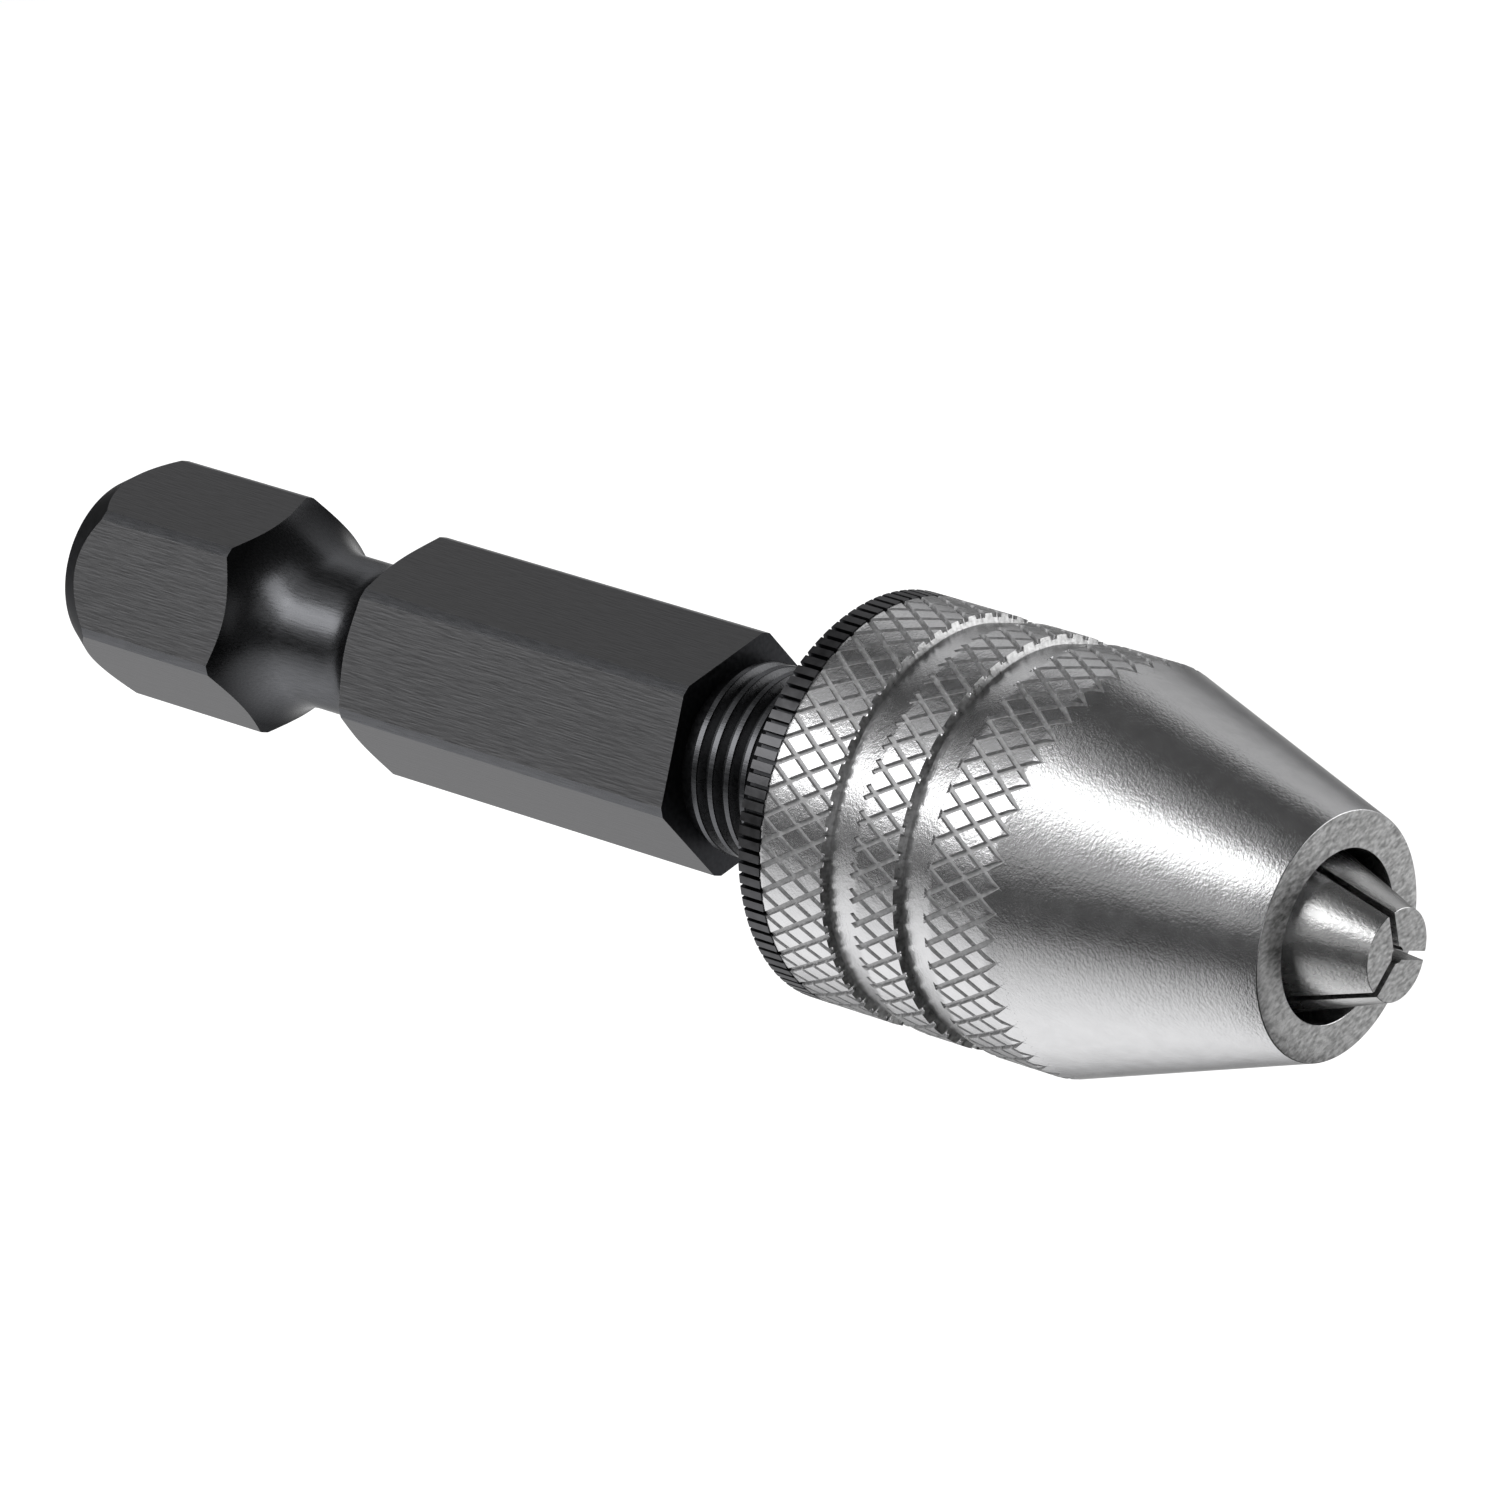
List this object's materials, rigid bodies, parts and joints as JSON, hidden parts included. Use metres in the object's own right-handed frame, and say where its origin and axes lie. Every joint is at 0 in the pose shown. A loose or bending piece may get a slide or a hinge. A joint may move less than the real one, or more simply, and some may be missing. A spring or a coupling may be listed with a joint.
{
  "type": "drill chuck",
  "caption": "Small keyless drill chuck: hexagonal quick-change shank with a round groove, threaded stem, knurled sleeve with a tapered nose, and jaws that close on a thin drill bit.",
  "frame": {"origin": "centre of the shank's flat rear end face", "axes": "+X along the chuck's axis from the shank to the jaws, +Z the normal of one flat of the hexagon"},
  "size_m": [0.0478, 0.012, 0.012],
  "materials": {
    "black_shank": "black oxide over fine lengthwise brushing",
    "black_nut": "black oxide, worn a little on the teeth",
    "bright_sleeve": "bright plated, fine orange peel on the cone",
    "jaw_steel": "ground steel with mottled tip faces",
    "washer_steel": "hardened, ground flat",
    "spring_steel": "drawn spring wire"
  },
  "bodies": {
    "shank": {"hex_shank": "black_shank"},
    "jaw_carrier": {"thrust_washer": "washer_steel"},
    "sleeve": {"sleeve": "bright_sleeve", "knurled_nut": "black_nut"},
    "jaw_1": {"jaw_1": "jaw_steel"},
    "jaw_2": {"jaw_2": "jaw_steel"},
    "jaw_3": {"jaw_3": "jaw_steel"},
    "jaw_spring_1": {"jaw_spring_1": "spring_steel"},
    "jaw_spring_2": {"jaw_spring_2": "spring_steel"},
    "jaw_spring_3": {"jaw_spring_3": "spring_steel"}
  },
  "joints": [
    {"name": "sleeve_turn", "type": "hinge", "parent": "shank", "child": "jaw_carrier", "pos_m": [0.0373, 0, 0], "axis": [1, 0, 0], "range_deg": [-226, 2601]},
    {"name": "sleeve_advance", "type": "slide", "parent": "jaw_carrier", "child": "sleeve", "axis": [1, 0, 0], "range_m": [-0.00038, 0.00433]},
    {"name": "jaw_1_grip", "type": "slide", "parent": "jaw_carrier", "child": "jaw_1", "axis": [0, 0.866, 0.5], "range_m": [-0.00013, 0.0015]},
    {"name": "jaw_2_grip", "type": "slide", "parent": "jaw_carrier", "child": "jaw_2", "axis": [0, -0.866, 0.5], "range_m": [-0.00013, 0.0015]},
    {"name": "jaw_3_grip", "type": "slide", "parent": "jaw_carrier", "child": "jaw_3", "axis": [0, 0, -1], "range_m": [-0.00013, 0.0015]},
    {"name": "jaw_spring_1_follow", "type": "slide", "parent": "jaw_carrier", "child": "jaw_spring_1", "axis": [0, 0, 1], "range_m": [-0.000065, 0.000748], "deforming": ["jaw_spring_1"]},
    {"name": "jaw_spring_2_follow", "type": "slide", "parent": "jaw_carrier", "child": "jaw_spring_2", "axis": [0, -0.866, -0.5], "range_m": [-0.000065, 0.000748], "deforming": ["jaw_spring_2"]},
    {"name": "jaw_spring_3_follow", "type": "slide", "parent": "jaw_carrier", "child": "jaw_spring_3", "axis": [0, 0.866, -0.5], "range_m": [-0.000065, 0.000748], "deforming": ["jaw_spring_3"]}
  ],
  "couplings": [
    {"joint": "sleeve_turn", "follows": "sleeve_advance", "rad_per_m": 10472},
    {"joint": "jaw_1_grip", "follows": "sleeve_advance", "ratio": 0.345},
    {"joint": "jaw_2_grip", "follows": "sleeve_advance", "ratio": 0.345},
    {"joint": "jaw_3_grip", "follows": "sleeve_advance", "ratio": 0.345},
    {"joint": "jaw_spring_1_follow", "follows": "sleeve_advance", "ratio": 0.1725},
    {"joint": "jaw_spring_2_follow", "follows": "sleeve_advance", "ratio": 0.1725},
    {"joint": "jaw_spring_3_follow", "follows": "sleeve_advance", "ratio": 0.1725}
  ]
}
